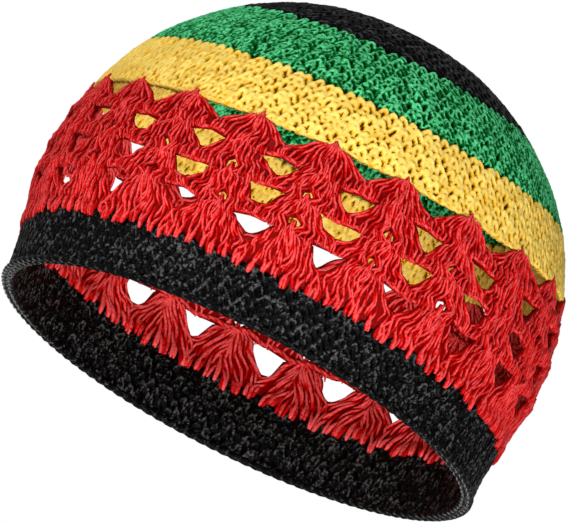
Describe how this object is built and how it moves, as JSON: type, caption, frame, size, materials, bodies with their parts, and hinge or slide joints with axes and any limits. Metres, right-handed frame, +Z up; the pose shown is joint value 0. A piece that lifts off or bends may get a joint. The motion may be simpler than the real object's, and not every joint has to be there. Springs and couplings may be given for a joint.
{
  "type": "crocheted cap",
  "caption": "Round domed crocheted cap: solid-stitch headband, open shell-stitch lace band, two solid bands and a closed crown.",
  "frame": {"origin": "centre of the headband's rim opening, in the plane that the rim lies in on average", "axes": "+Z up through the crown, -Y towards the viewer of the picture, +X to the viewer's right"},
  "size_m": [0.197, 0.1973, 0.1522],
  "materials": {
    "black_yarn": "crocheted cotton yarn with a slight shine",
    "red_yarn": "crocheted cotton yarn with a slight shine",
    "yellow_yarn": "crocheted cotton yarn with a slight shine",
    "green_yarn": "crocheted cotton yarn with a slight shine"
  },
  "bodies": {
    "root": {"headband": "black_yarn", "lace_band": "red_yarn", "yellow_band": "yellow_yarn", "green_band": "green_yarn", "crown": "black_yarn"}
  },
  "joints": []
}
